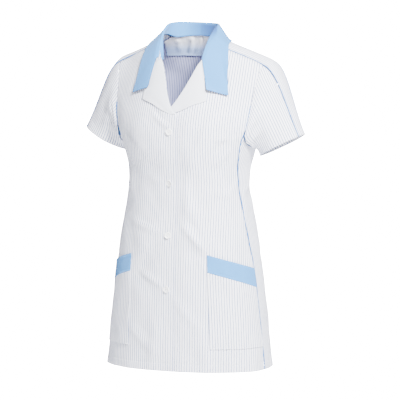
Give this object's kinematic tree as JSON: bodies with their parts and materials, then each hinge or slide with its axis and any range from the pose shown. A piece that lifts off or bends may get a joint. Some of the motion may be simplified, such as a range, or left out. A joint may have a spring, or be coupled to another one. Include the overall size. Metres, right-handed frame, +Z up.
{
  "type": "medical tunic",
  "caption": "Short-sleeved striped medical tunic with plain lapels, a contrast collar, piped seams and patch pockets with slanted bands, buttoned down the front.",
  "frame": {"origin": "middle of the neck's base, at the level of the back neck seam, where the wearer's shoulders hold it", "axes": "+Z up, the front faces -Y, +X towards the wearer's left"},
  "size_m": [0.6113, 0.3059, 0.8849],
  "materials": {
    "striped_cloth": "matt woven",
    "white_cloth": "matt woven",
    "blue_cloth": "matt woven",
    "button": "satin"
  },
  "bodies": {
    "root": {"front_right": "striped_cloth", "front_left": "striped_cloth", "side_right": "striped_cloth", "side_left": "striped_cloth", "back": "striped_cloth", "sleeve_right": "striped_cloth", "sleeve_left": "striped_cloth", "strip_right": "striped_cloth", "strip_left": "striped_cloth", "pocket_right": "striped_cloth", "pocket_left": "striped_cloth", "neck_facing": "white_cloth", "lapel_right": "white_cloth", "lapel_left": "white_cloth", "collar": "blue_cloth", "pocket_band_right": "blue_cloth", "pocket_band_left": "blue_cloth", "piping_side_right": "blue_cloth", "piping_side_left": "blue_cloth", "piping_front_right": "blue_cloth", "piping_front_left": "blue_cloth", "piping_back_right": "blue_cloth", "piping_back_left": "blue_cloth", "button_1": "button", "button_2": "button", "button_3": "button", "button_4": "button"}
  },
  "joints": []
}
